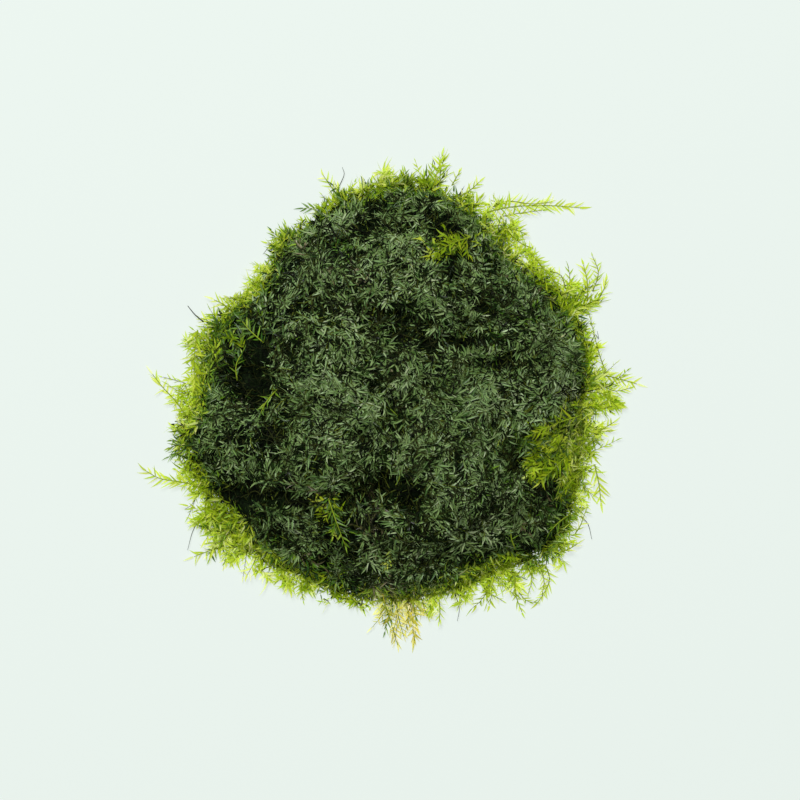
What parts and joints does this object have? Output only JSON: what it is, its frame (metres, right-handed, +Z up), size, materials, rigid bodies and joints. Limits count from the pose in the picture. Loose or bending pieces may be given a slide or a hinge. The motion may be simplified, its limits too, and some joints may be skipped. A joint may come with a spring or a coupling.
{
  "type": "fissidens moss",
  "caption": "Flattened wet clump of aquarium moss: a dense lumpy mat of fine leaves with a ragged rim of leafy shoots, to lay or tie on stones and wood.",
  "frame": {"origin": "middle of the clump's footprint, in the plane of the flat underside it lies on", "axes": "+Z up, out of the mat's top; +Y towards the side that is uppermost in the picture, +X to its right, seen from above"},
  "size_m": [0.1111, 0.1106, 0.0192],
  "materials": {
    "wet_moss": "wet, dark grey-green leaves with a soft shine",
    "fresh_shoot": "thin, translucent yellow-green leaves",
    "bare_stem": "thin, dark, wiry stem"
  },
  "bodies": {
    "root": {"mat": "wet_moss", "shoot_bottom_creeping": "fresh_shoot", "shoot_bottom_right": "fresh_shoot", "shoot_bottom_yellow_left": "fresh_shoot", "shoot_bottom_yellow_right": "fresh_shoot", "shoot_hanging": "fresh_shoot", "shoot_left_comb": "fresh_shoot", "shoot_left_curl": "fresh_shoot", "shoot_left_high": "fresh_shoot", "shoot_left_long": "fresh_shoot", "shoot_left_reaching": "fresh_shoot", "shoot_left_small": "fresh_shoot", "shoot_left_twig": "fresh_shoot", "shoot_loop": "fresh_shoot", "shoot_lower_left": "fresh_shoot", "shoot_lower_right": "fresh_shoot", "shoot_lower_right_tuft": "fresh_shoot", "shoot_lower_spike": "fresh_shoot", "shoot_lower_sprig": "fresh_shoot", "shoot_lower_streak": "fresh_shoot", "shoot_right_fork": "fresh_shoot", "shoot_right_hanging": "fresh_shoot", "shoot_right_reaching": "fresh_shoot", "shoot_right_rim": "fresh_shoot", "shoot_right_small": "fresh_shoot", "shoot_right_thin": "fresh_shoot", "shoot_right_tuft_long": "fresh_shoot", "shoot_right_tuft_lower": "fresh_shoot", "shoot_right_tuft_upper": "fresh_shoot", "shoot_right_under": "fresh_shoot", "shoot_top_shoulder": "fresh_shoot", "shoot_top_slanting": "fresh_shoot", "shoot_top_tall": "fresh_shoot", "shoot_upper_left": "fresh_shoot", "shoot_upper_right_long": "fresh_shoot", "shoot_upper_right_low": "fresh_shoot", "shoot_upper_right_rim": "fresh_shoot", "shoot_yellow_tuft": "fresh_shoot", "stem_left_bare": "bare_stem", "stem_lower_bare": "bare_stem"}
  },
  "joints": []
}
